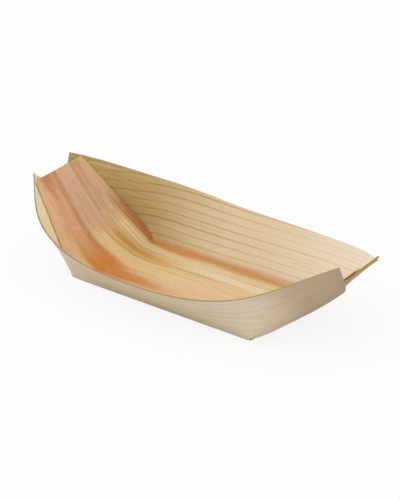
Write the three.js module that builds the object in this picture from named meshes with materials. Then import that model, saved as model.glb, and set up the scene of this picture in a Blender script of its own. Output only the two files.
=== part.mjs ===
// A disposable serving boat folded from one leaf of rotary-cut pine veneer.
// Millimetres and degrees, +X along the boat, +Y to the far wall, +Z up,
// origin at the middle of the underside of the floor.
import * as THREE from 'three';

// The leaf: a floor strip with upturned ends, and a wall strip folded up on each side of it.
const VENEER = 0.7;
const FLOOR_LENGTH = 96.8;
const FLOOR_WIDTH = 49.4;
const WALL_HEIGHT = 25.3;

// The upturned ends, measured up their slope from the slit ends at the floor's corners.
// The slits run out to the root width over the root rise, then straight in to the top,
// and the right end is cut off short of it.
const END_LENGTH = 45.7;
const END_TILT_ANGLE = 43.7;
const END_TOP_WIDTH = 28;
const END_ROOT_WIDTH = 55;
const END_ROOT_RISE_NEAR = 18;
const END_ROOT_RISE_FAR = 8;
const END_TWIST_RISE = 1.6;
const RIGHT_END_SHORTER = 11.5;

// The ends belly outwards between their slits, so the bend is soft in the middle and tight at the slits.
const BEND_RADIUS_MIDDLE = 30;
const BEND_RADIUS_SLIT = 2.5;
const BELLY_AT_FLOOR = 5.2;
const BELLY_AT_TOP = 1.4;

// The scored creases: a web of crushed fibre between the floor strip and each wall.
const WEB_WIDTH = 0.4;
const WEB_CLEARANCE = 0.15;

// The wall flaps lap behind the ends, far flap first and near flap over it, with a glue dab in each lap.
const GLUE_CLEARANCE = 0.2;
const LAYER_PITCH = 1.35;
const FLAP_CORNER_DROP = 19;
const FLAP_CORNER_PAST_MIDDLE = 8;
const SLIT_RELIEF = 2;

// Each glue dab, set in from the flap's corner along its end edge and in from that edge.
const DAB_WIDTH = 7;
const DAB_LENGTH = 9;
const INNER_DAB_FROM_CORNER = 5.5;
const INNER_DAB_FROM_EDGE = 10;
const OUTER_DAB_FROM_CORNER = 5.5;
const OUTER_DAB_FROM_EDGE = 5.5;

// How each wall leans out at its middle.
const NEAR_LEAN_ANGLE = 48.5;
const FAR_LEAN_ANGLE = 31;

// How a wall turns round a corner of the boat. Its crease ends the setback short of the floor's length,
// its top edge runs level for the side run and heads for the tip over the tip run, turned in and out,
// the tip stands past the end's top corner, and the wall swells low down and bulges at its flap's edge.
// The flap's corner springs off the layers inside it, and the glue is as thick as the gap left there.
const NEAR_LEFT = {
  setback: 3, sideRun: 56, tipRun: 24, inturnAngle: 40.7, outturnAngle: 12,
  tipInset: 3.2, tipRise: 3.9, tipOut: 2.1, swell: 0.3, swellAtSlit: 0,
  bulge: 8, lapSpring: 1.4, glueThickness: 0.38,
};
const NEAR_RIGHT = {
  setback: 1.5, sideRun: 43, tipRun: 40, inturnAngle: 41, outturnAngle: 15,
  tipInset: 1.8, tipRise: 5.1, tipOut: 2, swell: 4.5, swellAtSlit: 4.2,
  bulge: 8.8, lapSpring: 0.5, glueThickness: 0.42,
};
const FAR_LEFT = {
  setback: 0, sideRun: 29, tipRun: 53, inturnAngle: 39, outturnAngle: 28,
  tipInset: 2.3, tipRise: 3.8, tipOut: 2.8, swell: 2, swellAtSlit: 0,
  bulge: 5, lapSpring: 0, glueThickness: 0.75,
};
const FAR_RIGHT = {
  setback: 2.5, sideRun: 80, tipRun: 28, inturnAngle: 39, outturnAngle: 8,
  tipInset: 1.2, tipRise: 5.7, tipOut: 1.3, swell: 0.8, swellAtSlit: 0,
  bulge: 5, lapSpring: 0, glueThickness: 0.48,
};

// Counts of mesh steps.
const FLOOR_STEPS = 4;
const BEND_STEPS = 8;
const SLOPE_STEPS = 9;
const ACROSS_STEPS = 10;
const WALL_STEPS = 18;
const FLAP_STEPS = 12;
const RISE_STEPS = 6;
const DAB_STEPS = 6;

// Shares of a wall's half where the slit relief and the swell set in, and of a flap where the swell ends.
const RELIEF_FROM_SHARE = 0.88;
const SWELL_FROM_SHARE = 0.4;
const SWELL_FULL_SHARE = 0.85;
const SWELL_END_SHARE = 0.85;

const { degToRad, lerp, clamp, smoothstep } = THREE.MathUtils;
const TILT = degToRad(END_TILT_ANGLE);
const END_RUN = END_LENGTH * Math.sin(TILT);
const END_RISE = END_LENGTH * Math.cos(TILT);
const CREASE_Y = FLOOR_WIDTH / 2 + WEB_CLEARANCE + WEB_WIDTH + WEB_CLEARANCE + VENEER / 2;
const MID_Z = VENEER / 2;

const WALLS = {
  near: {
    side: -1, layersIn: 2, lean: NEAR_LEAN_ANGLE, left: NEAR_LEFT, right: NEAR_RIGHT,
    dabFromCorner: OUTER_DAB_FROM_CORNER, dabFromEdge: OUTER_DAB_FROM_EDGE,
  },
  far: {
    side: 1, layersIn: 1, lean: FAR_LEAN_ANGLE, left: FAR_LEFT, right: FAR_RIGHT,
    dabFromCorner: INNER_DAB_FROM_CORNER, dabFromEdge: INNER_DAB_FROM_EDGE,
  },
};

// The values of a wall's turn at the left or the right end.
function turnAt(wall, end) {
  return end < 0 ? wall.left : wall.right;
}

// How far the bend of an end is set back towards the middle, at a share across the floor.
function setbackAt(end, acrossShare) {
  const near = turnAt(WALLS.near, end).setback;
  const far = turnAt(WALLS.far, end).setback;
  return lerp(near, far, (1 + acrossShare) / 2);
}

// Half the width of an end at a distance up its slope, on the near or the far side.
function endHalfWidth(up, side) {
  const rootRise = side < 0 ? END_ROOT_RISE_NEAR : END_ROOT_RISE_FAR;
  const tapered = lerp(END_ROOT_WIDTH, END_TOP_WIDTH, clamp(up / END_LENGTH, 0, 1)) / 2;
  return lerp(FLOOR_WIDTH / 2, tapered, Math.sin(Math.PI / 2 * clamp(up / rootRise, 0, 1)));
}

// The share of the belly at a place across an end: 1 in the middle, fading smoothly to 0 at its edges.
function bellyShare(acrossShare) {
  const inside = Math.max(0, 1 - acrossShare * acrossShare);
  return inside * inside;
}

// A direction given along an end's slope, across the boat and out of the end's plane.
function endDirection(end, up, across, out) {
  return new THREE.Vector3(
    end * (up * Math.sin(TILT) + out * Math.cos(TILT)),
    across,
    up * Math.cos(TILT) - out * Math.sin(TILT),
  );
}

// A point on the flat plane of an end, before the belly and the twist.
function endPoint(end, up, across, out) {
  const bendLine = new THREE.Vector3(end * FLOOR_LENGTH / 2, 0, MID_Z);
  return bendLine.add(endDirection(end, up, across, out));
}

// Presses the belly into a flap that lies behind an end.
function addBelly(point) {
  const end = Math.sign(point.x);
  const run = Math.abs(point.x) - FLOOR_LENGTH / 2;
  const up = run * Math.sin(TILT) + (point.z - MID_Z) * Math.cos(TILT);
  const share = bellyShare(point.y / endHalfWidth(up, point.y));
  if (up <= 0 || share === 0) return point;
  const rise = up / END_LENGTH;
  point.x += end * share * lerp(BELLY_AT_FLOOR, BELLY_AT_TOP * Math.cos(TILT), rise);
  point.z -= share * BELLY_AT_TOP * Math.sin(TILT) * rise;
  return point;
}

// Lifts one corner of each end and drops the other, as a hand-bent leaf springs.
function addTwist(point) {
  const run = Math.max(0, Math.abs(point.x) - FLOOR_LENGTH / 2) / END_RUN;
  point.z -= Math.sign(point.x) * END_TWIST_RISE * run * run * point.y / (END_TOP_WIDTH / 2);
  return point;
}

// Middle surface of the floor strip: flat floor, soft bend and straight slope at each end.
function floorStripSurface() {
  const columns = [];
  for (const end of [-1, 1]) {
    const half = [];
    for (let step = 0; step <= FLOOR_STEPS; step += 1) half.push(['floor', step / FLOOR_STEPS]);
    for (let step = 1; step <= BEND_STEPS; step += 1) half.push(['bend', step / BEND_STEPS]);
    for (let step = 1; step <= SLOPE_STEPS; step += 1) half.push(['slope', step / SLOPE_STEPS]);
    const placed = half.map(([stretch, share]) => floorStripColumn(end, stretch, share));
    if (end < 0) columns.push(...placed.reverse());
    else columns.push(...placed.slice(1));
  }
  return columns;
}

// One line of points across the floor strip.
function floorStripColumn(end, stretch, share) {
  const column = [];
  for (let step = 0; step <= ACROSS_STEPS; step += 1) {
    const acrossShare = lerp(-1, 1, step / ACROSS_STEPS);
    const belly = bellyShare(acrossShare);
    const cornerX = FLOOR_LENGTH / 2 - setbackAt(end, acrossShare) + BELLY_AT_FLOOR * belly;
    const topX = FLOOR_LENGTH / 2 + END_RUN + BELLY_AT_TOP * belly * Math.cos(TILT);
    const topZ = END_RISE - BELLY_AT_TOP * belly * Math.sin(TILT);
    const turn = Math.atan2(topZ, topX - cornerX);
    const slope = Math.hypot(topZ, topX - cornerX);
    const radius = lerp(BEND_RADIUS_SLIT, BEND_RADIUS_MIDDLE, belly);
    const tangent = radius * Math.tan(turn / 2);
    let x = share * (cornerX - tangent);
    let z = 0;
    let up = 0;
    if (stretch === 'bend') {
      x = cornerX - tangent + radius * Math.sin(turn * share);
      z = radius * (1 - Math.cos(turn * share));
      up = Math.max(0, 2 * share - 1) * tangent;
    }
    if (stretch === 'slope') {
      const top = end > 0 ? slope - RIGHT_END_SHORTER : slope;
      up = lerp(tangent, top, share);
      x = cornerX + up * Math.cos(turn);
      z = up * Math.sin(turn);
    }
    const y = acrossShare * endHalfWidth(up * END_LENGTH / slope, acrossShare);
    column.push(addTwist(new THREE.Vector3(end * x, y, z + MID_Z)));
  }
  return column;
}

// The tip of a wall and the way that its top edge heads there.
function wallTip(wall, end) {
  const turn = turnAt(wall, end);
  const inturn = degToRad(turn.inturnAngle);
  const outturn = degToRad(turn.outturnAngle);
  const across = wall.side * (END_TOP_WIDTH / 2 - turn.tipInset);
  const place = endPoint(end, END_LENGTH + turn.tipRise, across, turn.tipOut);
  const heading = endDirection(
    end,
    Math.cos(inturn) * Math.cos(outturn),
    -wall.side * Math.sin(inturn) * Math.cos(outturn),
    Math.sin(outturn),
  );
  return { place, heading };
}

// Where a wall's crease ends and its flap turns, clear of the end that lies inside it.
function slitEnd(wall, end) {
  const run = LAYER_PITCH / Math.cos(TILT) - turnAt(wall, end).setback;
  return new THREE.Vector3(end * (FLOOR_LENGTH / 2 + run), wall.side * CREASE_Y, MID_Z);
}

// Top edge of one half of a wall, from its middle to a tip.
function wallTopEdge(wall, end) {
  const lean = degToRad(wall.lean);
  const y = wall.side * (CREASE_Y + WALL_HEIGHT * Math.sin(lean));
  const middle = new THREE.Vector3(0, y, MID_Z + WALL_HEIGHT * Math.cos(lean));
  const { sideRun, tipRun } = turnAt(wall, end);
  const tip = wallTip(wall, end);
  const sideHandle = middle.clone().setX(end * sideRun);
  const tipHandle = tip.place.clone().addScaledVector(tip.heading, -tipRun);
  return new THREE.CubicBezierCurve3(middle, sideHandle, tipHandle, tip.place);
}

// End edge of a flap, from the wall's tip to the flap's corner behind the end.
function flapEndEdge(wall, end) {
  const { bulge, lapSpring } = turnAt(wall, end);
  const tip = wallTip(wall, end);
  const apex = slitEnd(wall, end);
  const towardsApex = apex.clone().sub(tip.place);
  const leave = towardsApex.addScaledVector(tip.heading, -towardsApex.dot(tip.heading)).normalize();
  const cornerUp = END_LENGTH - FLAP_CORNER_DROP;
  const lapOut = wall.layersIn * LAYER_PITCH + lapSpring;
  const corner = endPoint(end, cornerUp, -wall.side * FLAP_CORNER_PAST_MIDDLE, lapOut);
  const slit = corner.clone().sub(apex).normalize();
  const plane = endDirection(end, 0, 0, 1);
  const arrive = slit.cross(plane).normalize();
  if (arrive.y * wall.side < 0) arrive.negate();
  const leaveHandle = tip.place.clone().addScaledVector(leave, bulge);
  const arriveHandle = corner.clone().addScaledVector(arrive, bulge);
  return new THREE.CubicBezierCurve3(tip.place, leaveHandle, arriveHandle, corner);
}

// The lines that a wall and its flap are made of, from the crease or slit end to the outer edge.
function wallRulings(wall, end) {
  const turn = turnAt(wall, end);
  const topEdge = wallTopEdge(wall, end);
  const apex = slitEnd(wall, end);
  // A cubic curve leaves its start at three times its first handle, and the crease keeps pace with it there.
  const fan = 3 * turn.sideRun / Math.abs(apex.x);
  const rulings = [];
  for (let step = 0; step <= WALL_STEPS; step += 1) {
    const along = step / WALL_STEPS;
    const foot = apex.clone().setX(apex.x * (1 - (1 - along) ** fan));
    const relief = SLIT_RELIEF * smoothstep(along, RELIEF_FROM_SHARE, 1);
    const swell = turn.swell * smoothstep(along, SWELL_FROM_SHARE, SWELL_FULL_SHARE);
    rulings.push({ foot, head: topEdge.getPoint(along), relief, swell });
  }
  for (let step = 1; step <= FLAP_STEPS; step += 1) rulings.push(flapRuling(wall, end, step / FLAP_STEPS));
  return rulings;
}

// One line of a flap's fan, at a share along its end edge.
function flapRuling(wall, end, along) {
  const head = flapEndEdge(wall, end).getPoint(along);
  const turn = turnAt(wall, end);
  const swell = lerp(turn.swell, turn.swellAtSlit, smoothstep(along, 0, SWELL_END_SHARE));
  return { foot: slitEnd(wall, end), head, relief: SLIT_RELIEF, swell };
}

// A point at a share of the way along one of these lines, swollen outwards low down.
function rulingPoint({ foot, head, relief, swell }, share) {
  const way = head.clone().sub(foot);
  const outwards = new THREE.Vector3(Math.sign(foot.x), Math.sign(foot.y), 0).normalize();
  const start = foot.clone().addScaledVector(way, relief / way.length());
  const point = start.lerp(head, share).addScaledVector(outwards, swell * swellShare(share));
  return addTwist(addBelly(point));
}

// The share of the swell at a height on a wall: 0 at the crease, 1 a quarter of the way up, 0 at the edge.
function swellShare(share) {
  const swellAt = (height) => height * (1 - height) ** 3;
  return swellAt(share) / swellAt(1 / 4);
}

// Middle surface of a wall with its two flaps.
function wallSurface(wall) {
  const rulings = [...wallRulings(wall, -1).reverse(), ...wallRulings(wall, 1).slice(1)];
  return rulings.map((ruling) => {
    const column = [];
    for (let step = 0; step <= RISE_STEPS; step += 1) column.push(rulingPoint(ruling, step / RISE_STEPS));
    return column;
  });
}

// Unit normals of a grid of points, from the points next to each.
function surfaceNormals(grid) {
  return grid.map((column, i) => column.map((_, j) => {
    const before = grid[Math.max(i - 1, 0)][j];
    const after = grid[Math.min(i + 1, grid.length - 1)][j];
    const below = column[Math.max(j - 1, 0)];
    const above = column[Math.min(j + 1, column.length - 1)];
    return after.clone().sub(before).cross(above.clone().sub(below)).normalize();
  }));
}

// A closed sheet between two offsets from a grid of points.
function sheetGeometry(grid, lower, upper) {
  const normals = surfaceNormals(grid);
  const rows = grid[0].length;
  const positions = [];
  for (const offset of [lower, upper]) {
    grid.forEach((column, i) => column.forEach((point, j) => {
      positions.push(...point.clone().addScaledVector(normals[i][j], offset).toArray());
    }));
  }
  const layer = grid.length * rows;
  const index = [];
  const quad = (a, b, c, d) => index.push(a, b, c, a, c, d);
  const at = (i, j) => i * rows + j;
  const lastColumn = grid.length - 1;
  const lastRow = rows - 1;
  for (let i = 0; i < lastColumn; i += 1) {
    for (let j = 0; j < lastRow; j += 1) {
      quad(at(i, j) + layer, at(i + 1, j) + layer, at(i + 1, j + 1) + layer, at(i, j + 1) + layer);
      quad(at(i, j), at(i, j + 1), at(i + 1, j + 1), at(i + 1, j));
    }
    quad(at(i, 0), at(i + 1, 0), at(i + 1, 0) + layer, at(i, 0) + layer);
    quad(at(i + 1, lastRow), at(i, lastRow), at(i, lastRow) + layer, at(i + 1, lastRow) + layer);
  }
  for (let j = 0; j < lastRow; j += 1) {
    quad(at(0, j + 1), at(0, j), at(0, j) + layer, at(0, j + 1) + layer);
    quad(at(lastColumn, j), at(lastColumn, j + 1), at(lastColumn, j + 1) + layer, at(lastColumn, j) + layer);
  }
  const geometry = new THREE.BufferGeometry();
  geometry.setAttribute('position', new THREE.Float32BufferAttribute(positions, 3));
  geometry.setIndex(index);
  geometry.computeVertexNormals();
  return geometry;
}

// A sheet of veneer on its middle surface.
function veneerGeometry(grid) {
  return sheetGeometry(grid, -VENEER / 2, VENEER / 2);
}

// A web of crushed fibre that fills a crease.
function webGeometry(wall) {
  const leftX = -FLOOR_LENGTH / 2 + wall.left.setback;
  const rightX = FLOOR_LENGTH / 2 - wall.right.setback;
  const geometry = new THREE.BoxGeometry(rightX - leftX, WEB_WIDTH, VENEER);
  const y = FLOOR_WIDTH / 2 + WEB_CLEARANCE + WEB_WIDTH / 2;
  return geometry.translate((leftX + rightX) / 2, wall.side * y, MID_Z);
}

// A round dab of glue on the inner face of a flap.
function dabGeometry(wall, end) {
  const edgeLength = flapEndEdge(wall, end).getLength();
  const { foot, head } = flapRuling(wall, end, 1 - wall.dabFromCorner / edgeLength);
  const fanLength = head.distanceTo(foot);
  const grid = [];
  for (let i = 0; i <= DAB_STEPS; i += 1) {
    const column = [];
    for (let j = 0; j <= DAB_STEPS; j += 1) {
      const a = lerp(-1, 1, i / DAB_STEPS);
      const b = lerp(-1, 1, j / DAB_STEPS);
      const fromCorner = wall.dabFromCorner + DAB_WIDTH / 2 * a * Math.sqrt(1 - b * b / 2);
      const fromEdge = wall.dabFromEdge + DAB_LENGTH / 2 * b * Math.sqrt(1 - a * a / 2);
      const ruling = flapRuling(wall, end, 1 - fromCorner / edgeLength);
      column.push(rulingPoint(ruling, 1 - fromEdge / fanLength));
    }
    grid.push(column);
  }
  const facing = surfaceNormals(grid)[DAB_STEPS / 2][DAB_STEPS / 2];
  const near = VENEER / 2 + GLUE_CLEARANCE;
  const far = near + turnAt(wall, end).glueThickness;
  if (facing.dot(endDirection(end, 0, 0, 1)) < 0) return sheetGeometry(grid, near, far);
  return sheetGeometry(grid, -far, -near);
}

const boat = new THREE.Group();

function addPiece(name, geometry, colour, roughness) {
  const material = new THREE.MeshStandardMaterial({ color: colour, roughness, metalness: 0 });
  const mesh = new THREE.Mesh(geometry, material);
  mesh.name = name;
  boat.add(mesh);
}

addPiece('floor_strip', veneerGeometry(floorStripSurface()), 0xdcc59a, 0.75);
addPiece('near_wall', veneerGeometry(wallSurface(WALLS.near)), 0xc4b8a6, 0.8);
addPiece('far_wall', veneerGeometry(wallSurface(WALLS.far)), 0xd2b98c, 0.78);
addPiece('near_crease_web', webGeometry(WALLS.near), 0xa98a5c, 0.85);
addPiece('far_crease_web', webGeometry(WALLS.far), 0xa98a5c, 0.85);
addPiece('left_inner_glue', dabGeometry(WALLS.far, -1), 0xd9cba0, 0.4);
addPiece('left_outer_glue', dabGeometry(WALLS.near, -1), 0xd9cba0, 0.4);
addPiece('right_inner_glue', dabGeometry(WALLS.far, 1), 0xd9cba0, 0.4);
addPiece('right_outer_glue', dabGeometry(WALLS.near, 1), 0xd9cba0, 0.4);

export default boat;
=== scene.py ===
# %% [markdown]
# # A serving boat folded from one leaf of pine
# A serving boat like this is a single leaf of rotary-cut pine, 0.7 mm thick. Two creases along the grain
# turn its sides up into walls. A slit at each corner lets the floor bend up at the ends, and the flaps of the
# walls lap behind those ends and are glued there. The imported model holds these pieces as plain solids. This
# lesson draws each of them again as fine veneer with grain, cut edges, crushed creases and glue.

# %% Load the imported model
import math
from collections import namedtuple

import bmesh
import bpy
import numpy as np
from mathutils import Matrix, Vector


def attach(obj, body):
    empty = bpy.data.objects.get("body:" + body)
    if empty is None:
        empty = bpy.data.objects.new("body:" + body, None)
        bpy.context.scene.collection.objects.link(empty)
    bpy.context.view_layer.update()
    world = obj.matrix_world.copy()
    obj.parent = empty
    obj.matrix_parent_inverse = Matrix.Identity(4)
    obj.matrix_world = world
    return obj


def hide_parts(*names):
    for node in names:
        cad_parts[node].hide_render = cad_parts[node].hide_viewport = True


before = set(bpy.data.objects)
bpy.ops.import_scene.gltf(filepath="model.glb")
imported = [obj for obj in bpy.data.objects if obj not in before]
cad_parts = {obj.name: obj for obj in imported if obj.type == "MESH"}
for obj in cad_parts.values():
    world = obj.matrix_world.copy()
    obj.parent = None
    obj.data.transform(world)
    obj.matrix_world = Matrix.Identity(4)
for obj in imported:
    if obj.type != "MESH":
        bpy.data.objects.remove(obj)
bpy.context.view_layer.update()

MM = 0.001
print("nodes:", ", ".join(sorted(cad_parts)))

# %% [markdown]
# ## The camera
# A picture of a small dish is taken from a good distance with a long lens, so its edges hardly converge. The
# angles and the distance here were found by laying the model's corners over the corners in the photograph.
# The camera is aimed a little off the dish's middle, which frames it as the photograph does without a shift.

# %% The camera
FRAME_CENTRE = (200.0, 250.0)
FRAME_HEIGHT = 500
SENSOR_SIZE = 36
FOCAL_PIXELS = 3615
VIEW_AZIMUTH = math.radians(41.34)
VIEW_ELEVATION = math.radians(22.97)
VIEW_DISTANCE = 1500 * MM
MIDDLE_OF_DISH = Vector((0, 0, 20 * MM))
MIDDLE_PIXEL = (199.12, 244.79)
CLIP_START = 0.05
CLIP_END = 50


def added(name, data):
    """A new object with this data, linked to the scene."""
    made = bpy.data.objects.new(name, data)
    bpy.context.scene.collection.objects.link(made)
    return made


towards_camera = Vector((
    math.sin(VIEW_AZIMUTH) * math.cos(VIEW_ELEVATION),
    -math.cos(VIEW_AZIMUTH) * math.cos(VIEW_ELEVATION),
    math.sin(VIEW_ELEVATION),
))
picture_right = Vector((math.cos(VIEW_AZIMUTH), math.sin(VIEW_AZIMUTH), 0))
picture_up = towards_camera.cross(picture_right)
pixel_size = VIEW_DISTANCE / FOCAL_PIXELS
aim_point = (
    MIDDLE_OF_DISH
    + picture_right * (FRAME_CENTRE[0] - MIDDLE_PIXEL[0]) * pixel_size
    + picture_up * (MIDDLE_PIXEL[1] - FRAME_CENTRE[1]) * pixel_size
)

camera_data = bpy.data.cameras.new("camera")
camera_data.sensor_width = SENSOR_SIZE
camera_data.lens = FOCAL_PIXELS * SENSOR_SIZE / FRAME_HEIGHT
camera_data.clip_start = CLIP_START
camera_data.clip_end = CLIP_END
camera = added("camera", camera_data)
camera.location = aim_point + towards_camera * VIEW_DISTANCE
camera.rotation_euler = (-towards_camera).to_track_quat("-Z", "Y").to_euler()
bpy.context.scene.camera = camera
print("lens in mm:", round(camera_data.lens, 1))

# %% [markdown]
# ## Node trees as expressions
# Wood grain is arithmetic on places: rings are a repeating function of the distance across the grain, and a
# band of heartwood is a soft step. Written as nodes alone this is long, so one small class wraps a socket and
# lets Python's operators add the Math nodes. The same class serves materials, the world and Geometry Nodes.

# %% A socket that takes part in expressions
class Wire:
    """A socket of a node tree. Operators on it add Math nodes, and node() adds any other node."""

    def __init__(self, tree, socket=None):
        self.tree = tree
        self.socket = socket

    def node(self, kind, settings=(), sockets=(), output=0):
        made = self.tree.nodes.new(kind)
        for name, value in dict(settings).items():
            setattr(made, name, value)
        for key, value in dict(sockets).items():
            if isinstance(value, Wire):
                self.tree.links.new(value.socket, made.inputs[key])
            else:
                made.inputs[key].default_value = value
        return Wire(self.tree, made.outputs[output]) if made.outputs else None

    def math(self, operation, *values):
        return self.node("ShaderNodeMath", {"operation": operation}, dict(enumerate(values)))

    def vector(self, operation, *values):
        return self.node("ShaderNodeVectorMath", {"operation": operation}, dict(enumerate(values)))

    def scaled(self, amount):
        return self.node("ShaderNodeVectorMath", {"operation": "SCALE"}, {"Vector": self, "Scale": amount})

    def part(self, axis):
        return self.node("ShaderNodeSeparateXYZ", (), {0: self}, output=axis)

    def triple(self, x, y, z):
        return self.node("ShaderNodeCombineXYZ", (), {0: x, 1: y, 2: z})

    def clamped(self):
        return self.math("MINIMUM", self.math("MAXIMUM", self, 0), 1)

    def step(self, low, high):
        """0 below low, 1 above high and smooth between, falling instead where low is the larger."""
        if low > high:
            return 1 - self.step(high, low)
        sockets = {"Value": self, "From Min": low, "From Max": high}
        return self.node("ShaderNodeMapRange", {"interpolation_type": "SMOOTHSTEP"}, sockets)

    def operator(operation):
        return lambda self, other: self.math(operation, self, other)

    __add__ = __radd__ = operator("ADD")
    __mul__ = __rmul__ = operator("MULTIPLY")
    __sub__ = operator("SUBTRACT")
    __truediv__ = operator("DIVIDE")
    __pow__ = operator("POWER")

    def __rsub__(self, other):
        return self.math("SUBTRACT", other, self)

    def __abs__(self):
        return self.math("ABSOLUTE", self)


def linear(colour):
    """A colour written with 0 to 255 per channel, taken off the sRGB curve for the shaders."""
    shares = [channel / 255 for channel in colour]
    return tuple(s / 12.92 if s <= 0.04045 else ((s + 0.055) / 1.055) ** 2.4 for s in shares) + (1.0,)


print("operators on sockets: + - * / ** abs, and one white as nodes see it:", linear((255, 255, 255)))

# %% [markdown]
# ## Light and floor
# The dish stands on white under soft studio light. A large lamp high on the camera's left gives the walls
# part of their slow change of tone, and the rest of it is painted into their colours. An even white world
# fills the rest of the light, so colours render about as written. The floor is partly self-lit for the camera,
# which makes it white and still keeps the dish's soft shadow.

# %% Light and floor
FILL_STRENGTH = 0.95
KEY_POWER = 1.7
KEY_SIZE = 0.9
KEY_PLACE = Vector((-0.7, -0.8, 0.75))
FLOOR_SIZE = 8
FLOOR_DROP = 0.15 * MM
FLOOR_GLOW = 0.86
FLOOR_TONE = (247, 247, 248)
WHITE = (1, 1, 1, 1)

bpy.context.scene.view_settings.view_transform = "Standard"

world = bpy.data.worlds.new("studio")
world.use_nodes = True
world.node_tree.nodes.clear()
bpy.context.scene.world = world


def seen_as_backdrop(tree):
    """1 for camera, glossy and transmitted rays, 0 for the rays that carry light to the dish."""
    start = Wire(tree)
    names = ["Is Camera Ray", "Is Glossy Ray", "Is Transmission Ray"]
    path = start.node("ShaderNodeLightPath", output=names[0]).socket.node
    seen = [Wire(tree, path.outputs[name]) for name in names]
    return seen[0].math("MAXIMUM", seen[0].math("MAXIMUM", seen[0], seen[1]), seen[2])


def bare_material(name):
    """A material whose node tree is still empty."""
    material = bpy.data.materials.new(name)
    material.use_nodes = True
    material.node_tree.nodes.clear()
    return material


backdrop = seen_as_backdrop(world.node_tree)
fill = FILL_STRENGTH + (1 - FILL_STRENGTH) * backdrop
glow = backdrop.node("ShaderNodeBackground", (), {"Color": WHITE, "Strength": fill})
backdrop.node("ShaderNodeOutputWorld", (), {"Surface": glow})

lamp_data = bpy.data.lights.new("key_lamp", "AREA")
lamp_data.shape = "DISK"
lamp_data.size = KEY_SIZE
lamp_data.energy = KEY_POWER
lamp = added("key_lamp", lamp_data)
lamp.location = KEY_PLACE
lamp.rotation_euler = (-KEY_PLACE).to_track_quat("-Z", "Y").to_euler()

floor_material = bare_material("white_floor")
floor_seen = seen_as_backdrop(floor_material.node_tree)
matt = floor_seen.node("ShaderNodeBsdfDiffuse", (), {"Color": linear(FLOOR_TONE)})
white = floor_seen.node("ShaderNodeEmission", (), {"Color": WHITE, "Strength": 1.0})
floor_mix = floor_seen.node("ShaderNodeMixShader", (), {0: floor_seen * FLOOR_GLOW, 1: matt, 2: white})
floor_seen.node("ShaderNodeOutputMaterial", (), {"Surface": floor_mix})

floor_mesh = bpy.data.meshes.new("studio_floor")
reach = FLOOR_SIZE / 2
floor_corners = [(-reach, -reach), (reach, -reach), (reach, reach), (-reach, reach)]
floor_mesh.from_pydata([(x, y, -FLOOR_DROP) for x, y in floor_corners], [], [(0, 1, 2, 3)])
floor_mesh.materials.append(floor_material)
studio_floor = added("studio_floor", floor_mesh)
print("key lamp at", [round(x, 2) for x in KEY_PLACE], "and fill", FILL_STRENGTH)

# %% [markdown]
# ## Places on the flat leaf
# Grain belongs to the flat leaf and bends with it. So every point of the veneer carries an attribute named
# leaf: its place on the flat sheet in millimetres, x along the grain from the middle and y across it. The
# materials of the wood read that attribute, and stripes run unbroken from the floor up the bent ends.

# %% Grain from places on the leaf
# A texture is a noise: its sizes along and across the grain in millimetres, a seed and a detail.
Texture = namedtuple("Texture", "along across seed detail", defaults=[2.0])
# A tint is a colour laid on by a noise: not at all at its start value and by its amount at its full one.
Tint = namedtuple("Tint", "colour amount start full")
# Rings are lines a pitch apart across the grain from a start, in millimetres, and a share of the pitch wide.
Rings = namedtuple("Rings", "pitch start width")
RING_SHARP = 0.22
RING_LEAST = 0.55


def leaf_place(tree):
    """The place on the flat leaf as a vector, in millimetres: x along it and y across."""
    return Wire(tree).node("ShaderNodeAttribute", {"attribute_name": "leaf"}, output="Vector")


def noise(place, texture):
    """A noise stretched along the grain, from about -1 to 1."""
    sizes = (1 / texture.along, 1 / texture.across, 1)
    scaled = place.vector("MULTIPLY_ADD", place, sizes, (texture.seed,) * 3)
    sockets = {"Vector": scaled, "Scale": 1.0, "Detail": texture.detail}
    return place.node("ShaderNodeTexNoise", (), sockets) * 2 - 1


def wandering(place, ways):
    """How far the grain strays sideways: noises added up, each times its size in millimetres."""
    return sum(noise(place, texture) * size for texture, size in ways)


def stripe(value, centre, half_width, soft):
    """1 within half_width of centre, fading to 0 over soft on both sides."""
    return abs(value - centre).step(half_width + soft, half_width - soft)


def blended(below, colour, amount):
    """A colour laid over another by an amount."""
    top = colour if isinstance(colour, Wire) else linear(colour)
    sockets = {0: amount, 6: below, 7: top}
    return amount.node("ShaderNodeMix", {"data_type": "RGBA"}, sockets, output=2)


def tinted(colour, values, tints):
    """A colour with tints laid over it, one after the other, by the values of a noise."""
    for tint in tints:
        colour = blended(colour, tint.colour, values.step(tint.start, tint.full) * tint.amount)
    return colour


def ring_lines(grain, rings):
    """Late-wood lines across the grain, each of its own strength and soft on its inner side."""
    turns = (grain - rings.start) / rings.pitch
    phase = turns.math("FRACT", turns)
    year = turns.math("FLOOR", turns)
    strength = year.node("ShaderNodeTexWhiteNoise", {"noise_dimensions": "1D"}, {"W": year}, "Value")
    darkest = 1 - rings.width * RING_SHARP
    rising = phase.step(1 - rings.width, darkest)
    return rising * phase.step(1.0, darkest) * (RING_LEAST + (1 - RING_LEAST) * strength)


print("grain helpers: leaf_place, noise, wandering, stripe, blended, tinted, ring_lines")

# %% [markdown]
# ## The faces of the veneer
# The upper face of the leaf shows the figure of the pine: pale cream sapwood, golden and orange streaks of
# resinous heartwood, and a pinkish tone where the ends were bent up. Two of the streaks are partly painted
# shade:
# the orange one along the far crease, darkened as shade in the fold, and the dark red-brown one low in the far
# corner of the left end. Thin darker rings run through it all. An image could hold this, but it would blur up
# close, so each streak is a soft stripe across the grain with a place, a width and a reach along it, and noise
# makes its borders wander as they do in wood.

# %% A material from its colour, roughness and height
# A planed face has a roughness, and fibres and specks with their tints.
Planed = namedtuple("Planed", "roughness fibres fibre_tints specks speck_tints")
FIBRE_DEPTH = 0.05 * MM
WOOD_SHINE = 0.25
RING_POLISH = 0.08
FIBRE_ROUGHNESS = 0.06
RING_HEIGHT = 0.5
FIBRE_HEIGHT = 0.6


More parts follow.
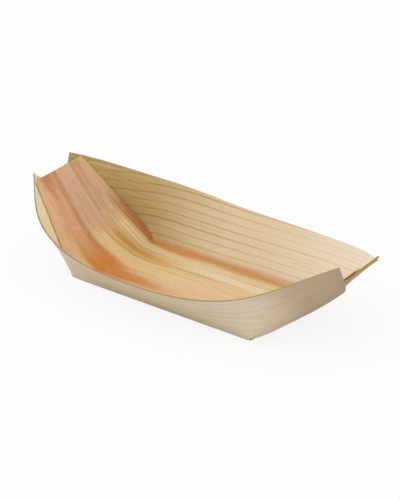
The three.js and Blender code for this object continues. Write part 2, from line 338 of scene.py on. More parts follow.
def wood_material(name, paint, shine=WOOD_SHINE):
    """A material whose paint function gives the colour, the roughness and the height of the surface."""
    material = bare_material(name)
    tree = material.node_tree
    colour, roughness, height = paint(tree)
    bump = height.node("ShaderNodeBump", (), {"Height": height, "Distance": FIBRE_DEPTH})
    shader = bump.node("ShaderNodeBsdfPrincipled", (), {
        "Base Color": colour, "Roughness": roughness, "Normal": bump, "Specular IOR Level": shine,
    })
    shader.node("ShaderNodeOutputMaterial", (), {"Surface": shader})
    print(name, "has", len(tree.nodes), "nodes")
    return material


def finished(colour, place, lines, face):
    """The last layers of a planed face: fibres, specks, and rings that are smooth and stand out."""
    fibres = noise(place, face.fibres)
    colour = tinted(colour, fibres, face.fibre_tints)
    colour = tinted(colour, noise(place, face.specks), face.speck_tints)
    roughness = face.roughness - RING_POLISH * lines + FIBRE_ROUGHNESS * fibres
    return colour, roughness, lines * RING_HEIGHT + fibres * FIBRE_HEIGHT


# %% The upper face of the floor strip
# A band's place across the grain, its widths, its two ends and its fade are in millimetres on the leaf.
Band = namedtuple("Band", "across half_width soft start end fade colour strength")

FLOOR_CREAM = (232, 209, 158)
FLOOR_BANDS = [
    Band(-1, 8, 4, -15, 95, 18, (236, 196, 154), 0.8),
    Band(10.8, 3.6, 2.6, -14, 95, 16, (240, 224, 190), 0.95),
    Band(3, 6, 3, -66, -15, 14, (230, 198, 142), 0.8),
    Band(10.8, 2.3, 1.2, -64, -30, 13, (200, 146, 56), 0.95),
    Band(6.6, 0.9, 0.7, -62, -24, 12, (206, 154, 70), 0.75),
    Band(14.6, 0.9, 0.8, -60, -30, 10, (206, 156, 74), 0.7),
    Band(8.2, 1.2, 0.9, -44, 10, 16, (214, 160, 88), 0.7),
    Band(-10.0, 6.0, 2.0, -54, -36, 9, (200, 122, 28), 0.95),
    Band(-12.0, 4.2, 2.2, -48, -22, 14, (202, 124, 34), 0.95),
    Band(-14.0, 3.2, 2.0, -44, -2, 18, (208, 130, 52), 0.9),
    Band(-5.5, 2.2, 1.5, -52, -24, 12, (214, 150, 84), 0.6),
    Band(-9.0, 6.0, 3.0, -10, 95, 12, (235, 191, 148), 0.75),
    # The orange band along the far crease: partly heartwood, partly painted shade of the concave fold.
    Band(23.6, 2.6, 1.2, -64, 95, 6, (208, 140, 76), 0.9),
    Band(21.0, 1.4, 1.0, -46, -18, 8, (222, 150, 76), 0.85),
    # Dark red-brown low at the far corner of the left end: partly darker heartwood, partly painted shade where
    # the end meets the far wall.
    Band(24.5, 2.8, 1.5, -62, -44, 8, (183, 117, 44), 0.85),
    Band(21.6, 2.4, 1.3, -10, 95, 14, (213, 152, 96), 0.75),
    Band(-20.5, 4.0, 2.5, -40, 95, 6, (239, 213, 176), 0.8),
    Band(-9.0, 6.8, 2.0, -62, -40, 7, (210, 128, 44), 0.85),
]
END_TONE = (214, 170, 131)
END_TONE_AMOUNT = 0.85
END_START = -63
END_SOFT = 5
END_BANDS = [
    Band(-4.5, 2.2, 1.6, -99, -52, 8, (188, 126, 80), 0.75),
    Band(14.5, 1.6, 1.3, -99, -70, 6, (192, 140, 104), 0.6),
    Band(10.5, 1.3, 1.1, -99, -68, 6, (190, 136, 98), 0.6),
    Band(3.5, 5.0, 3.0, -88, -64, 5, (206, 168, 140), 0.6),
    Band(-11.5, 5.5, 2.5, -99, -54, 7, (220, 163, 118), 0.8),
    Band(-12.0, 4.0, 3.0, -99, -86, 4, (186, 116, 66), 0.8),
    Band(-23.0, 5.0, 3.0, -88, -52, 6, (228, 178, 134), 0.85),
    # Dark red-brown low at the far corner of the left end: partly darker heartwood, partly painted shade where
    # the end meets the far wall.
    Band(24.0, 3.2, 2.0, -74, -50, 8, (176, 112, 48), 0.85),
]
FLOOR_RINGS = Rings(1.95, 0.4, 0.62)
FLOOR_RING_TONE = (164, 116, 54)
FLOOR_RING_AMOUNT = 0.55
FLOOR_RING_PATCHES = Texture(45, 2.2, 11)
FLOOR_PATCH_RANGE = (-0.9, 0.3)
RINGS_LOST_AT_END = 0.5
FLOOR_STREAKS = Texture(45, 1.1, 19)
FLOOR_STREAK_TINTS = [Tint((198, 138, 70), 0.45, 0.05, 0.6), Tint((248, 228, 188), 0.24, -0.1, -0.6)]
END_BLOTCHES = Texture(9, 3.5, 21, 4.0)
END_BLOTCH_TINTS = [Tint((178, 120, 84), 0.45, 0.0, 0.6), Tint((230, 194, 164), 0.4, 0.0, -0.6)]
FLOOR_FACE = Planed(
    0.68,
    Texture(22, 0.3, 2, 3.0),
    [Tint((150, 104, 58), 0.25, 0.05, 0.75), Tint((252, 238, 208), 0.25, -0.05, -0.75)],
    Texture(2.6, 0.6, 27, 4.0),
    [Tint((140, 88, 44), 0.32, 0.05, 0.75), Tint((255, 238, 206), 0.32, -0.05, -0.75)],
)
FLOOR_WANDER = [(Texture(60, 9, 3), 0.55), (Texture(18, 3, 8), 0.16)]
RAGGED_ENDS = Texture(14, 4, 5)
RAGGED_REACH = 5
HUMP_PLACE = -49
HUMP_HEIGHT = 1.5
HUMP_REACH = 10
RISE_FROM = -35
RISE_SLOPE = 0.05
DRAW_IN_FROM = 48
DRAW_IN_TO = 90
DRAW_IN = 0.4


def laid_bands(colour, along, grain, bands):
    """Streaks of wood laid over a colour, one after the other."""
    for band in bands:
        width = stripe(grain, band.across, band.half_width, band.soft)
        reach = along.step(band.start - band.fade, band.start + band.fade)
        reach = reach * along.step(band.end + band.fade, band.end - band.fade)
        colour = blended(colour, band.colour, width * reach * band.strength)
    return colour


def floor_grain(along, across, place):
    """The distance across the grain of the floor strip, which swings where the strip is bent."""
    drawn_in = 1 + DRAW_IN * (along * -1).step(DRAW_IN_FROM, DRAW_IN_TO)
    from_hump = (along - HUMP_PLACE) / HUMP_REACH
    hump = HUMP_HEIGHT * along.math("EXPONENT", from_hump * from_hump * -1)
    rise = RISE_SLOPE * along.math("MAXIMUM", along - RISE_FROM, 0)
    return across * drawn_in - hump - rise + wandering(place, FLOOR_WANDER)


def floor_paint(tree):
    place = leaf_place(tree)
    along, across = place.part("X"), place.part("Y")
    grain = floor_grain(along, across, place)
    ragged = along + noise(place, RAGGED_ENDS) * RAGGED_REACH
    at_end = ragged.step(END_START + END_SOFT, END_START - END_SOFT)
    colour = laid_bands(linear(FLOOR_CREAM), ragged, grain, FLOOR_BANDS)
    colour = blended(colour, END_TONE, at_end * END_TONE_AMOUNT)
    colour = laid_bands(colour, ragged, grain, END_BANDS)
    lines = ring_lines(grain, FLOOR_RINGS)
    patchy = noise(place, FLOOR_RING_PATCHES).step(*FLOOR_PATCH_RANGE)
    lines = lines * patchy * (1 - at_end * RINGS_LOST_AT_END)
    colour = blended(colour, FLOOR_RING_TONE, lines * FLOOR_RING_AMOUNT)
    colour = tinted(colour, noise(along.triple(along, grain, 0), FLOOR_STREAKS), FLOOR_STREAK_TINTS)
    colour = tinted(colour, noise(place, END_BLOTCHES) * at_end, END_BLOTCH_TINTS)
    return finished(colour, place, lines, FLOOR_FACE)


floor_face = wood_material("pine_floor_face", floor_paint)

# %% [markdown]
# ## The inner faces of the walls
# The walls show evenly spaced rings that run along the boat and meet its edge at a slight skew. The far wall
# goes from an olive tan at one end to pale cream at the other, partly the wood and partly painted light:
# painted shade at the left end and painted light at the right end. The near wall is cream all along. The
# crease's streak reaches a few millimetres up both, partly heartwood and partly painted shade of the fold. It
# is the same recipe as the floor with fewer streaks and bolder rings.

# %% The inner faces of the walls
WALL_RINGS = Rings(3.38, 26.7, 0.36)
WALL_RING_AMOUNT = 0.85
FAINT_RING_SHIFT = 0.45
FAINT_RINGS = Rings(WALL_RINGS.pitch, WALL_RINGS.start + FAINT_RING_SHIFT * WALL_RINGS.pitch, 0.3)
FAINT_RING_AMOUNT = 0.4
RINGS_LOST_AT_RIGHT = 0.6
WALL_RING_PATCHES = Texture(50, 3, 12)
WALL_PATCH_RANGE = (-1.0, 0.3)
WALL_SKEW = 0.024
WALL_WANDER = [(Texture(70, 12, 4), 0.45), (Texture(16, 3, 9), 0.12)]
DROOP_FROM = -50
DROOP_SOFT = 6
DROOP_SLOPE = 0.16
# Where the tones turn, in millimetres along the leaf, and the height across it of the crease's streak, which
# is partly heartwood and partly painted shade of the fold.
TO_MIDDLE = (-72, -4)
TO_RIGHT = (-4, 62)
LINES_TO_RIGHT = (-45, 25)
CREASE_STREAK_AND_SHADE = (29.0, 25.6)
STREAK_LOST_AT_RIGHT = 0.5
WALL_STREAKS = Texture(50, 1.3, 22)
WALL_FACE = Planed(
    0.7,
    Texture(24, 0.32, 6, 3.0),
    [Tint((140, 108, 62), 0.18, 0.05, 0.75), Tint((250, 240, 214), 0.18, -0.05, -0.75)],
    Texture(2.6, 0.6, 28, 4.0),
    [Tint((136, 104, 58), 0.22, 0.05, 0.75), Tint((255, 246, 222), 0.26, -0.05, -0.75)],
)

WallTone = namedtuple("WallTone", "left middle right line_left line_right crease crease_strength")
# The far wall's olive left and its pale right are partly painted shade and painted light, and its crease
# colour is partly painted shade of the fold.
FAR_TONE = WallTone((188, 160, 104), (226, 206, 170), (238, 227, 209),
                    (158, 130, 60), (206, 174, 122), (206, 138, 66), 0.8)
# The near wall's crease colour is partly painted shade of the fold.
NEAR_TONE = WallTone((243, 221, 179), (232, 208, 164), (232, 212, 174),
                     (228, 202, 156), (214, 184, 136), (222, 176, 122), 0.6)


def wall_streak_tints(line_colour):
    """Dark streaks take the colour of the rings."""
    return [Tint(line_colour, 0.25, 0.1, 0.7), Tint((248, 238, 214), 0.3, -0.1, -0.7)]


def wall_paint(tone):
    def paint(tree):
        place = leaf_place(tree)
        along, across = place.part("X"), place.part("Y")
        past = DROOP_FROM - along
        droop = (past + (past * past + DROOP_SOFT ** 2) ** 0.5) * (DROOP_SLOPE / 2)
        grain = abs(across) - along * WALL_SKEW + droop + wandering(place, WALL_WANDER)
        to_right = along.step(*TO_RIGHT)
        # For the far wall these tones are partly painted shade at the left end and painted light at the right
        # end.
        colour = blended(linear(tone.left), tone.middle, along.step(*TO_MIDDLE))
        colour = blended(colour, tone.right, to_right)
        # The crease's colour is partly heartwood and partly painted shade in the concave fold.
        streak = grain.step(*CREASE_STREAK_AND_SHADE) * (1 - STREAK_LOST_AT_RIGHT * to_right)
        colour = blended(colour, tone.crease, streak * tone.crease_strength)
        line_colour = blended(linear(tone.line_left), tone.line_right, along.step(*LINES_TO_RIGHT))
        patchy = noise(place, WALL_RING_PATCHES).step(*WALL_PATCH_RANGE)
        lines = ring_lines(grain, WALL_RINGS) * patchy * (1 - RINGS_LOST_AT_RIGHT * to_right)
        colour = blended(colour, line_colour, lines * WALL_RING_AMOUNT)
        faint = ring_lines(grain, FAINT_RINGS) * (1 - patchy)
        colour = blended(colour, line_colour, faint * FAINT_RING_AMOUNT)
        colour = tinted(colour, noise(place, WALL_STREAKS), wall_streak_tints(line_colour))
        return finished(colour, place, lines, WALL_FACE)
    return paint


far_wall_face = wood_material("pine_far_wall_face", wall_paint(FAR_TONE))
near_wall_face = wood_material("pine_near_wall_face", wall_paint(NEAR_TONE))

# %% [markdown]
# ## The outer faces and the cut edges
# The side of the leaf that faced the log is duller: a warm grey beige with faint streaks and fine checks from
# the knife. It goes from a light beige to a browner tone at the right end, which is partly the wood and partly
# painted shade where the walls turn away from the lamp. The cut edges are clean: the slits are pale and
# bright, the rims are darker, and where the far wall's fibres are cut across they show gold, darkened with
# painted shade of the gap behind the flap.

# %% The outer faces and the cut edges
BackTone = namedtuple("BackTone", "start end colour")
BACK_LEFT = (216, 198, 168)
# Tones along the leaf, partly the wood and partly painted light and shade: the browner right end is painted
# shade where the walls turn from the lamp.
BACK_TONES_AND_SHADE = [
    BackTone(-48, -20, (214, 196, 164)),
    BackTone(15, 40, (219, 204, 178)),
    BackTone(52, 82, (186, 163, 134)),
    BackTone(82, 104, (170, 152, 134)),
]
BACK_DRIFT = Texture(20, 10, 20)
BACK_DRIFT_REACH = 8
BACK_CLOUDS = Texture(26, 6, 15)
BACK_CLOUD_TINTS = [Tint((184, 158, 120), 0.4, 0.0, 0.9)]
BACK_WANDER = [(Texture(60, 10, 14), 0.5)]
BACK_RING_SHIFT = 1.2
BACK_RINGS = Rings(WALL_RINGS.pitch, WALL_RINGS.start + BACK_RING_SHIFT, 0.6)
BACK_RING_TONE = (168, 140, 102)
BACK_RING_AMOUNT = 0.16
BACK_FIBRES = Texture(18, 0.3, 16, 3.0)
BACK_FIBRE_TINTS = [Tint((146, 124, 96), 0.24, 0.05, 0.75), Tint((244, 234, 214), 0.26, -0.05, -0.75)]
BACK_FIBRE_HEIGHT = 0.7
BACK_ROUGHNESS = 0.78
KNIFE_CHECKS = Texture(1.2, 0.5, 17)
CHECK_HEIGHT = 0.25
TOP_EDGE = (172, 146, 108)
SLIT_EDGE = (240, 214, 164)
FLOOR_END_EDGE = (226, 196, 148)
NEAR_FLAP_EDGE = (232, 206, 160)
# The far flap's cut edge: gold of the cut fibres, darkened with painted shade of the gap behind the flap.
FAR_FLAP_EDGE_AND_SHADE = (178, 136, 58)
# Where the edges change colour, in millimetres on the leaf.
FLOOR_END = 85
FLOOR_END_SOFT = 1
WALL_TOP = 50.4
WALL_SLIT = 25.7
WALL_EDGE_SOFT = 0.2
EDGE_FIBRES = Texture(5, 0.4, 18, 3.0)
EDGE_FIBRE_TINTS = [Tint((150, 112, 66), 0.4, 0.1, 0.9)]
EDGE_ROUGHNESS = 0.8
EDGE_FIBRE_ROUGHNESS = 0.05


def back_paint(tree):
    place = leaf_place(tree)
    along, across = place.part("X"), place.part("Y")
    grain = abs(across) - along * WALL_SKEW + wandering(place, BACK_WANDER)
    drift = along + noise(place, BACK_DRIFT) * BACK_DRIFT_REACH
    colour = linear(BACK_LEFT)
    # These tones are partly painted light and shade, browner at the right end.
    for tone in BACK_TONES_AND_SHADE:
        colour = blended(colour, tone.colour, drift.step(tone.start, tone.end))
    colour = tinted(colour, noise(place, BACK_CLOUDS), BACK_CLOUD_TINTS)
    colour = blended(colour, BACK_RING_TONE, ring_lines(grain, BACK_RINGS) * BACK_RING_AMOUNT)
    fibres = noise(place, BACK_FIBRES)
    colour = tinted(colour, fibres, BACK_FIBRE_TINTS)
    height = fibres * BACK_FIBRE_HEIGHT + noise(place, KNIFE_CHECKS) * CHECK_HEIGHT
    return colour, BACK_ROUGHNESS + FIBRE_ROUGHNESS * fibres, height


def floor_edge_colour(place):
    """Pale along the slits and browner at the two ends of the leaf."""
    at_end = abs(place.part("X")).step(FLOOR_END - FLOOR_END_SOFT, FLOOR_END)
    return blended(linear(SLIT_EDGE), FLOOR_END_EDGE, at_end)


def wall_edge_colour(flap_edge):
    """Dark along the rim, pale along the slits and of the given colour at the flaps' ends, which for the far
    wall holds painted shade.
    """
    def colour(place):
        rise = abs(place.part("Y"))
        flap = blended(linear(flap_edge), SLIT_EDGE, rise.step(WALL_SLIT + WALL_EDGE_SOFT, WALL_SLIT))
        return blended(flap, TOP_EDGE, rise.step(WALL_TOP - WALL_EDGE_SOFT, WALL_TOP))
    return colour


def edge_paint(edge_colour):
    def paint(tree):
        place = leaf_place(tree)
        fibres = noise(place, EDGE_FIBRES)
        colour = tinted(edge_colour(place), fibres, EDGE_FIBRE_TINTS)
        return colour, EDGE_ROUGHNESS + EDGE_FIBRE_ROUGHNESS * fibres, fibres
    return paint


back_face = wood_material("pine_back_face", back_paint)
floor_edge = wood_material("pine_floor_edge", edge_paint(floor_edge_colour))
near_edge = wood_material("pine_near_edge", edge_paint(wall_edge_colour(NEAR_FLAP_EDGE)))
far_edge = wood_material("pine_far_edge", edge_paint(wall_edge_colour(FAR_FLAP_EDGE_AND_SHADE)))

# %% [markdown]
# ## The floor strip
# The middle of the leaf is the floor, and its two ends bend up on their own between the slits. Seen from the
# side the bend is soft in the middle and tight at the slits, because the end bellies outwards. The strip is a
# grid of points worked out from those radii with numpy. Geometry Nodes then turns the thin surface into
# veneer: it is thickened along its normals, and its two faces and its cut edge get a material each.

# %% Sizes of the leaf
VENEER = 0.7 * MM
FLOOR_LENGTH = 96.8 * MM
FLOOR_WIDTH = 49.4 * MM
WALL_HEIGHT = 25.3 * MM
MID_Z = VENEER / 2

END_LENGTH = 45.7 * MM
END_TILT = math.radians(43.7)
END_TOP_WIDTH = 28 * MM
END_ROOT_WIDTH = 55 * MM
NEAR_ROOT_RISE = 18 * MM
FAR_ROOT_RISE = 8 * MM
END_TWIST = 1.6 * MM
RIGHT_END_SHORTER = 11.5 * MM
END_RUN = END_LENGTH * math.sin(END_TILT)
END_RISE = END_LENGTH * math.cos(END_TILT)

BEND_RADIUS_MIDDLE = 30 * MM
BEND_RADIUS_SLIT = 2.5 * MM
BELLY_AT_FLOOR = 5.2 * MM
BELLY_AT_TOP = 1.4 * MM

# How a wall turns round each corner of the boat, in millimetres and degrees.
Turn = namedtuple("Turn", (
    "setback side_run tip_run inturn_angle outturn_angle tip_inset tip_rise tip_out "
    "swell swell_at_slit bulge lap_spring"))
NEAR_LEFT = Turn(3, 56, 24, 40.7, 12, 3.2, 3.9, 2.1, 0.3, 0, 8, 1.4)
NEAR_RIGHT = Turn(1.5, 43, 40, 41, 15, 1.8, 5.1, 2, 4.5, 4.2, 8.8, 0.5)
FAR_LEFT = Turn(0, 29, 53, 39, 28, 2.3, 3.8, 2.8, 2, 0, 5, 0)
FAR_RIGHT = Turn(2.5, 80, 28, 39, 8, 1.2, 5.7, 1.3, 0.8, 0, 5, 0)


def mixed(low, high, share):
    return low + (high - low) * share


def smooth_step(value, low, high):
    share = np.clip((value - low) / (high - low), 0, 1)
    return share * share * (3 - 2 * share)


def end_half_width(up, across):
    """Half the width of an end at a distance up its slope, on the near or the far side."""
    root_rise = np.where(across < 0, NEAR_ROOT_RISE, FAR_ROOT_RISE)
    tapered = mixed(END_ROOT_WIDTH, END_TOP_WIDTH, np.clip(up / END_LENGTH, 0, 1)) / 2
    return mixed(FLOOR_WIDTH / 2, tapered, np.sin(np.pi / 2 * np.clip(up / root_rise, 0, 1)))


def twisted(points):
    """One corner of each end lifted and the other dropped, as a hand-bent leaf springs."""
    run = np.maximum(0, np.abs(points[..., 0]) - FLOOR_LENGTH / 2) / END_RUN
    drop = np.sign(points[..., 0]) * END_TWIST * run ** 2 * points[..., 1] / (END_TOP_WIDTH / 2)
    return points - np.stack([0 * drop, 0 * drop, drop], axis=-1)


print("floor in mm:", FLOOR_LENGTH / MM, "by", FLOOR_WIDTH / MM, "and ends rising", round(END_RISE / MM, 1))

# %% The middle surface of the floor strip
FLOOR_STEPS = 30
BEND_STEPS = 28
SLOPE_STEPS = 36
ACROSS_STEPS = 56


def floor_strip_half(end):
    """Points from the boat's middle to one end, with their places on the flat leaf."""
    side = np.linspace(-1, 1, ACROSS_STEPS + 1)
    belly = np.maximum(0, 1 - side ** 2) ** 2
    near, far = (NEAR_LEFT, FAR_LEFT) if end < 0 else (NEAR_RIGHT, FAR_RIGHT)
    setback = mixed(near.setback, far.setback, (1 + side) / 2) * MM
    corner = FLOOR_LENGTH / 2 - setback + BELLY_AT_FLOOR * belly
    top_x = FLOOR_LENGTH / 2 + END_RUN + BELLY_AT_TOP * belly * math.cos(END_TILT)
    top_z = END_RISE - BELLY_AT_TOP * belly * math.sin(END_TILT)
    turn = np.arctan2(top_z, top_x - corner)
    slope = np.hypot(top_z, top_x - corner)
    radius = mixed(BEND_RADIUS_SLIT, BEND_RADIUS_MIDDLE, belly)
    tangent = radius * np.tan(turn / 2)
    flat = corner - tangent
    columns = []
    for share in np.linspace(0, 1, FLOOR_STEPS + 1):
        columns.append((share * flat, 0 * flat, 0 * flat, share * flat))
    for share in np.linspace(0, 1, BEND_STEPS + 1)[1:]:
        x = flat + radius * np.sin(turn * share)
        z = radius * (1 - np.cos(turn * share))
        columns.append((x, z, max(0, 2 * share - 1) * tangent, flat + radius * turn * share))
    top = slope - RIGHT_END_SHORTER * (end > 0)
    for share in np.linspace(0, 1, SLOPE_STEPS + 1)[1:]:
        up = mixed(tangent, top, share)
        x = corner + up * np.cos(turn)
        columns.append((x, up * np.sin(turn), up, flat + radius * turn + up - tangent))
    points, places = [], []
    for x, z, up, along in columns:
        y = side * end_half_width(up * END_LENGTH / slope, side)
        points.append(np.stack([end * x, y, z + MID_Z], axis=-1))
        places.append(np.stack([end * along, y, 0 * y], axis=-1) / MM)
    return np.array(points), np.array(places)


def point_attribute(mesh, name, values):
    attribute = mesh.attributes.new(name, "FLOAT_VECTOR", "POINT")
    attribute.data.foreach_set("vector", np.asarray(values, np.float32).ravel())


def grid_mesh(name, points, places):
    """A mesh of quads over a grid of points, facing to the side from which columns run on to the right."""
    columns, rows = points.shape[:2]
    index = np.arange(columns * rows).reshape(columns, rows)
    quads = np.stack([index[:-1, :-1], index[1:, :-1], index[1:, 1:], index[:-1, 1:]], axis=-1)
    mesh = bpy.data.meshes.new(name)
    mesh.from_pydata(points.reshape(-1, 3).tolist(), [], quads.reshape(-1, 4).tolist())
    point_attribute(mesh, "leaf", places)
    return mesh


left_points, left_places = floor_strip_half(-1)
right_points, right_places = floor_strip_half(1)
strip_points = twisted(np.concatenate([left_points[::-1], right_points[1:]]))
strip_places = np.concatenate([left_places[::-1], right_places[1:]])
strip_mesh = grid_mesh("floor_strip_middle", strip_points, strip_places)
print("floor strip:", len(strip_mesh.polygons), "quads on", round(np.ptp(strip_places[..., 0])), "mm of leaf")

# %% From a thin surface to veneer, with Geometry Nodes
EDGE_ANGLE = math.radians(50)
SEAM = 0.0005 * MM


def tree_with(name, geometry, counts, sizes, output):
    """A Geometry Nodes tree with named inputs for a geometry, counts and sizes, as wires, and one output."""
    tree = bpy.data.node_groups.new(name, "GeometryNodeTree")
    inputs = {geometry: "NodeSocketGeometry"}
    inputs.update(dict.fromkeys(counts, "NodeSocketInt"))
    inputs.update(dict.fromkeys(sizes, "NodeSocketFloat"))
    for label, kind in inputs.items():
        tree.interface.new_socket(label, in_out="INPUT", socket_type=kind)
    tree.interface.new_socket(output, in_out="OUTPUT", socket_type="NodeSocketGeometry")
    group_input = tree.nodes.new("NodeGroupInput")
    return tree, {label: Wire(tree, group_input.outputs[label]) for label in inputs}


def joined(*parts):
    """Adds the node that joins pieces of geometry."""
    whole = parts[0].node("GeometryNodeJoinGeometry")
    for part in parts:
        whole.tree.links.new(part.socket, whole.socket.node.inputs[0])
    return whole


def with_places(geometry, place):
    """Adds the node that stores the place on the leaf with every point."""
    settings = {"data_type": "FLOAT_VECTOR", "domain": "POINT"}
    sockets = {"Geometry": geometry, "Name": "leaf", "Value": place}
    return geometry.node("GeometryNodeStoreNamedAttribute", settings, sockets)


def veneer_of(surface, thickness, face, back, edge):
    """Adds the nodes that thicken a surface both ways and give its sides their materials."""
    normal = surface.node("GeometryNodeInputNormal")
    lowered = surface.node("GeometryNodeSetPosition", (), {
        "Geometry": surface, "Offset": normal.scaled(thickness * -0.5),
    })
    extruded = lowered.node("GeometryNodeExtrudeMesh", {"mode": "FACES"}, {
        "Mesh": lowered, "Offset": normal, "Offset Scale": thickness, "Individual": False,
    })
    top = Wire(surface.tree, extruded.socket.node.outputs["Top"])
    rim = Wire(surface.tree, extruded.socket.node.outputs["Side"])
    underside = lowered.node("GeometryNodeFlipFaces", (), {"Mesh": lowered})
    both = joined(underside, extruded)
    closed = both.node("GeometryNodeMergeByDistance", (), {"Geometry": both, "Distance": SEAM})
    for material, selection in ((back, True), (face, top), (edge, rim)):
        closed = closed.node("GeometryNodeSetMaterial", (), {
            "Geometry": closed, "Selection": selection, "Material": material,
        })
    turn = surface.node("GeometryNodeInputMeshEdgeAngle")
    smooth = closed.node("GeometryNodeSetShadeSmooth", {"domain": "FACE"}, {"Geometry": closed})
    return smooth.node("GeometryNodeSetShadeSmooth", {"domain": "EDGE"}, {
        "Geometry": smooth, "Selection": turn.math("GREATER_THAN", turn, EDGE_ANGLE), "Shade Smooth": False,
    })


def ended(geometry):
    """Closes a tree: instances become real geometry and go to its output."""
    real = geometry.node("GeometryNodeRealizeInstances", (), {"Geometry": geometry})
    geometry.node("NodeGroupOutput", (), {0: real})


def kept_mesh(source, name):
    """The plain mesh that an object's modifiers make of it. The object and its modifiers go."""
    evaluated = source.evaluated_get(bpy.context.evaluated_depsgraph_get())
    mesh = bpy.data.meshes.new_from_object(evaluated)
    source.modifiers.clear()
    bpy.data.objects.remove(source)
    mesh.name = name
    return mesh


def plain_piece(name, mesh, tree, values):
    """Runs a tree on a mesh and keeps the result as a plain mesh in an object of its own."""
    source = added(name + "_source", mesh)
    modifier = source.modifiers.new(name, "NODES")
    modifier.node_group = tree
    for item in tree.interface.items_tree:
        if item.name in values:
            modifier[item.identifier] = values[item.name]
    result = kept_mesh(source, name)
    if result.materials[0] is None:
        result.materials.pop(index=0)
    print(name, "has", len(result.polygons), "faces and", len(result.materials), "materials")
    return added(name, result)


strip_tree, given = tree_with("veneer_strip", "Surface", [], ["Thickness"], "Veneer")
ended(veneer_of(given["Surface"], given["Thickness"], floor_face, back_face, floor_edge))
floor_strip = plain_piece("floor_veneer", strip_mesh, strip_tree, {"Thickness": VENEER})

# %% [markdown]
# ## The walls
# A bent sheet of veneer is a ruled surface: through each of its points runs a straight line. A wall is made
# of such lines from its crease to its top edge. Past the slit the lines fan out from the slit's end and the
# flap turns behind the bent end. That is a rule, so Geometry Nodes draws the wall: Python gives it one point
# for each line, with the line's two ends, and the tree lays a grid along them, swells it, and presses the
# belly and the twist of the ends into it.

# %% Edges of the walls
LAYER_PITCH = 1.35 * MM
CREASE_GAP = 0.7 * MM
CREASE_ON_LEAF = FLOOR_WIDTH / 2 + CREASE_GAP
CREASE_Y = CREASE_ON_LEAF + VENEER / 2
FLAP_CORNER_DROP = 19 * MM
FLAP_CORNER_UP = END_LENGTH - FLAP_CORNER_DROP
FLAP_CORNER_PAST_MIDDLE = 8 * MM

Wall = namedtuple("Wall", "side layers_in lean left right")
NEAR_WALL = Wall(-1, 2, math.radians(48.5), NEAR_LEFT, NEAR_RIGHT)
FAR_WALL = Wall(1, 1, math.radians(31), FAR_LEFT, FAR_RIGHT)


def end_direction(end, up, across, out):
    """A direction along an end's slope, across the boat and out of the end's plane."""
    return np.array([
        end * (up * math.sin(END_TILT) + out * math.cos(END_TILT)),
        across,
        up * math.cos(END_TILT) - out * math.sin(END_TILT),
    ])


def end_point(end, up, across, out):
    return np.array([end * FLOOR_LENGTH / 2, 0, MID_Z]) + end_direction(end, up, across, out)


def curve_points(handles, shares):
    """Points of a cubic curve through the first and last of four handles."""
    t = shares[:, None]
    weights = [(1 - t) ** 3, 3 * (1 - t) ** 2 * t, 3 * (1 - t) * t ** 2, t ** 3]
    return sum(weight * handle for weight, handle in zip(weights, handles))


def unit(vector):
    return vector / np.linalg.norm(vector)


def turn_at(wall, end):
    return wall.left if end < 0 else wall.right


def wall_edges(wall, end):
    """Handles of the top edge and of the flap's end edge, and the end of the slit."""
    turn = turn_at(wall, end)
    tip_across = wall.side * (END_TOP_WIDTH / 2 - turn.tip_inset * MM)
    tip = end_point(end, END_LENGTH + turn.tip_rise * MM, tip_across, turn.tip_out * MM)
    inturn = math.radians(turn.inturn_angle)
    outturn = math.radians(turn.outturn_angle)
    heading = end_direction(
        end,
        math.cos(inturn) * math.cos(outturn),
        -wall.side * math.sin(inturn) * math.cos(outturn),
        math.sin(outturn),
    )
    reach = CREASE_Y + WALL_HEIGHT * math.sin(wall.lean)
    middle = np.array([0, wall.side * reach, MID_Z + WALL_HEIGHT * math.cos(wall.lean)])
    top = [middle, middle + [end * turn.side_run * MM, 0, 0], tip - heading * turn.tip_run * MM, tip]
    slit_run = FLOOR_LENGTH / 2 + LAYER_PITCH / math.cos(END_TILT) - turn.setback * MM
    slit_end = np.array([end * slit_run, wall.side * CREASE_Y, MID_Z])
    to_slit = slit_end - tip
    leave = unit(to_slit - heading * to_slit.dot(heading))
    lap_out = wall.layers_in * LAYER_PITCH + turn.lap_spring * MM
    corner = end_point(end, FLAP_CORNER_UP, -wall.side * FLAP_CORNER_PAST_MIDDLE, lap_out)
    arrive = unit(np.cross(corner - slit_end, end_direction(end, 0, 0, 1)))
    arrive = arrive * np.sign(arrive[1] * wall.side)
    flap = [tip, tip + leave * turn.bulge * MM, corner + arrive * turn.bulge * MM, corner]
    return top, flap, slit_end


near_right_tip = wall_edges(NEAR_WALL, 1)[0][-1]
print("near right tip in mm:", np.round(near_right_tip / MM, 1))

# %% The lines that a wall is made of
WALL_STEPS = 72
FLAP_STEPS = 44
SLIT_RELIEF = 0.6 * MM
RELIEF_FROM = 0.88
SWELL_FROM = 0.4
SWELL_FULL = 0.85
SWELL_END = 0.85
LENGTH_SAMPLES = 2000
RAGGED_EDGE = 0.07 * MM
ragged_draws = np.random.default_rng(11)


